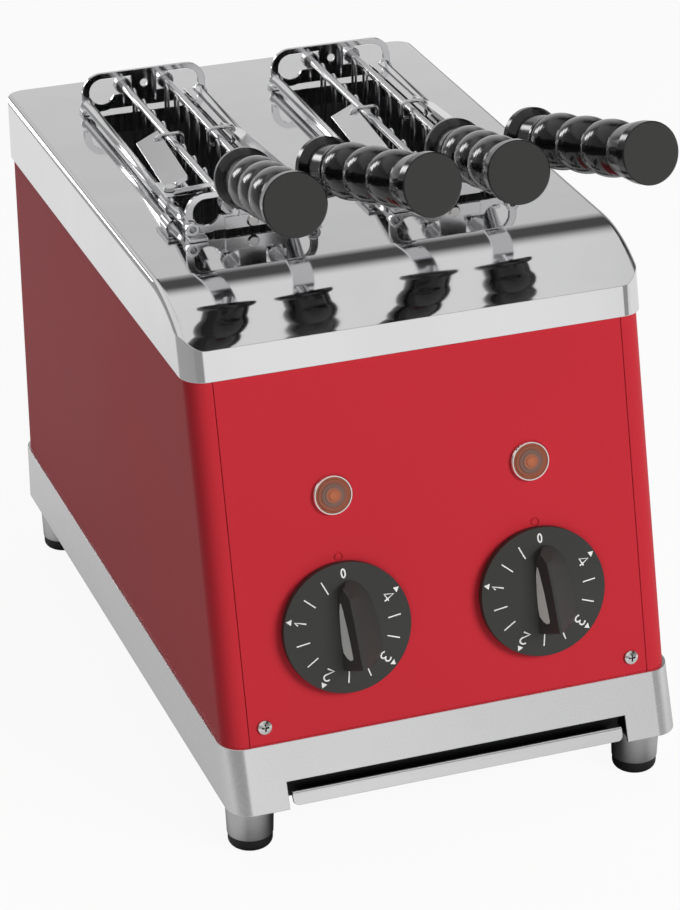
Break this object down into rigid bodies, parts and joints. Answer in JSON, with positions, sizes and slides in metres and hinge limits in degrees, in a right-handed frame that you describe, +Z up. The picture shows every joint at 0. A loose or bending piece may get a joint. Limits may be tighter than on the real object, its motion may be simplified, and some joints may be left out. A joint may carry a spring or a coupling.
{
  "type": "sandwich toaster",
  "caption": "Countertop sandwich toaster with lift-out wire tongs, squeeze grips, timer dials, pilot lamps and a slide-out crumb tray in a leaning steel case.",
  "frame": {"origin": "on the floor, under the middle of the whole object's bounding box", "axes": "+Z up, -Y towards the front with the dials, +X to the right seen from the front"},
  "size_m": [0.2, 0.3498, 0.3065],
  "materials": {
    "satin_steel": "satin ground",
    "plated_sheet": "plain sheet",
    "red_lacquer": "satin metallic lacquer",
    "polished_steel": "mirror polished",
    "quartz": "clear fused quartz",
    "rubber": "matt",
    "screw_steel": "plain",
    "timer_case": "plain",
    "bezel_chrome": "bright",
    "amber_lens": "clear moulded",
    "black_plastic": "matt",
    "pale_plastic": "matt",
    "charcoal_plastic": "fine matt",
    "grey_insert": "satin",
    "bright_steel": "bright",
    "wire_steel": "drawn wire",
    "black_gloss": "gloss moulded"
  },
  "bodies": {
    "housing": {"base_pan": "satin_steel", "side_panel_left": "red_lacquer", "side_panel_right": "red_lacquer", "front_panel": "red_lacquer", "rear_panel": "red_lacquer", "top_cover": "polished_steel", "deck": "plated_sheet", "bulkhead_front": "plated_sheet", "bulkhead_rear": "plated_sheet", "reflector_left": "plated_sheet", "reflector_mid": "plated_sheet", "reflector_right": "plated_sheet", "heater_tubes": "quartz", "foot_legs": "satin_steel", "foot_tips": "rubber", "panel_screws": "screw_steel", "timer_left": "timer_case", "timer_right": "timer_case", "lamp_bezels": "bezel_chrome", "lamp_lenses": "amber_lens", "cable_gland": "black_plastic", "terminal_block": "pale_plastic"},
    "tray": {"crumb_tray": "satin_steel"},
    "dial_left": {"knob_left": "charcoal_plastic", "knob_insert_left": "grey_insert"},
    "dial_right": {"knob_right": "charcoal_plastic", "knob_insert_right": "grey_insert"},
    "tong_left": {"bracket_front_left": "bright_steel", "bracket_rear_left": "bright_steel", "frame_rods_left": "bright_steel", "saddles_left": "bright_steel", "rivet_left": "screw_steel", "stay_left": "bright_steel"},
    "squeeze_left_outer": {"lever_left_outer": "bright_steel", "clip_left_outer": "wire_steel", "grip_left_outer": "black_gloss"},
    "jaw_left_outer": {"grid_left_outer": "wire_steel", "grid_rod_left_outer": "wire_steel"},
    "squeeze_left_inner": {"lever_left_inner": "bright_steel", "clip_left_inner": "wire_steel", "grip_left_inner": "black_gloss"},
    "jaw_left_inner": {"grid_left_inner": "wire_steel", "grid_rod_left_inner": "wire_steel"},
    "tong_right": {"bracket_front_right": "bright_steel", "bracket_rear_right": "bright_steel", "frame_rods_right": "bright_steel", "saddles_right": "bright_steel", "rivet_right": "screw_steel", "stay_right": "bright_steel"},
    "squeeze_right_outer": {"lever_right_outer": "bright_steel", "clip_right_outer": "wire_steel", "grip_right_outer": "black_gloss"},
    "jaw_right_outer": {"grid_right_outer": "wire_steel", "grid_rod_right_outer": "wire_steel"},
    "squeeze_right_inner": {"lever_right_inner": "bright_steel", "clip_right_inner": "wire_steel", "grip_right_inner": "black_gloss"},
    "jaw_right_inner": {"grid_right_inner": "wire_steel", "grid_rod_right_inner": "wire_steel"}
  },
  "joints": [
    {"name": "tray_slide", "type": "slide", "parent": "housing", "child": "tray", "axis": [0, -1, 0], "range_m": [0, 0.22]},
    {"name": "dial_left_turn", "type": "hinge", "parent": "housing", "child": "dial_left", "pos_m": [-0.0432, -0.13725, 0.09241], "axis": [0, -0.9713, 0.2377], "range_deg": [-305, 0]},
    {"name": "dial_right_turn", "type": "hinge", "parent": "housing", "child": "dial_right", "pos_m": [0.0432, -0.13725, 0.09241], "axis": [0, -0.9713, 0.2377], "range_deg": [-305, 0]},
    {"name": "tong_left_lift", "type": "slide", "parent": "housing", "child": "tong_left", "axis": [0, 0, 1], "range_m": [0, 0.13]},
    {"name": "lever_left_outer_squeeze", "type": "hinge", "parent": "tong_left", "child": "squeeze_left_outer", "pos_m": [-0.0715, -0.00457, 0.2375], "axis": [0, 0, 1], "range_deg": [0, 3], "stiffness_Nm_per_rad": 4},
    {"name": "grid_left_outer_slide", "type": "slide", "parent": "tong_left", "child": "jaw_left_outer", "axis": [-1, 0, 0], "range_m": [0, 0.0026]},
    {"name": "lever_left_inner_squeeze", "type": "hinge", "parent": "tong_left", "child": "squeeze_left_inner", "pos_m": [-0.0185, -0.00457, 0.2375], "axis": [0, 0, -1], "range_deg": [0, 3], "stiffness_Nm_per_rad": 4},
    {"name": "grid_left_inner_slide", "type": "slide", "parent": "tong_left", "child": "jaw_left_inner", "axis": [1, 0, 0], "range_m": [0, 0.0026]},
    {"name": "tong_right_lift", "type": "slide", "parent": "housing", "child": "tong_right", "axis": [0, 0, 1], "range_m": [0, 0.13]},
    {"name": "lever_right_outer_squeeze", "type": "hinge", "parent": "tong_right", "child": "squeeze_right_outer", "pos_m": [0.0715, -0.00457, 0.2375], "axis": [0, 0, -1], "range_deg": [0, 3], "stiffness_Nm_per_rad": 4},
    {"name": "grid_right_outer_slide", "type": "slide", "parent": "tong_right", "child": "jaw_right_outer", "axis": [1, 0, 0], "range_m": [0, 0.0026]},
    {"name": "lever_right_inner_squeeze", "type": "hinge", "parent": "tong_right", "child": "squeeze_right_inner", "pos_m": [0.0185, -0.00457, 0.2375], "axis": [0, 0, 1], "range_deg": [0, 3], "stiffness_Nm_per_rad": 4},
    {"name": "grid_right_inner_slide", "type": "slide", "parent": "tong_right", "child": "jaw_right_inner", "axis": [-1, 0, 0], "range_m": [0, 0.0026]}
  ],
  "couplings": [
    {"joint": "grid_left_outer_slide", "follows": "lever_left_outer_squeeze", "m_per_rad": 0.049},
    {"joint": "grid_left_inner_slide", "follows": "lever_left_inner_squeeze", "m_per_rad": 0.049},
    {"joint": "grid_right_outer_slide", "follows": "lever_right_outer_squeeze", "m_per_rad": 0.049},
    {"joint": "grid_right_inner_slide", "follows": "lever_right_inner_squeeze", "m_per_rad": 0.049}
  ]
}
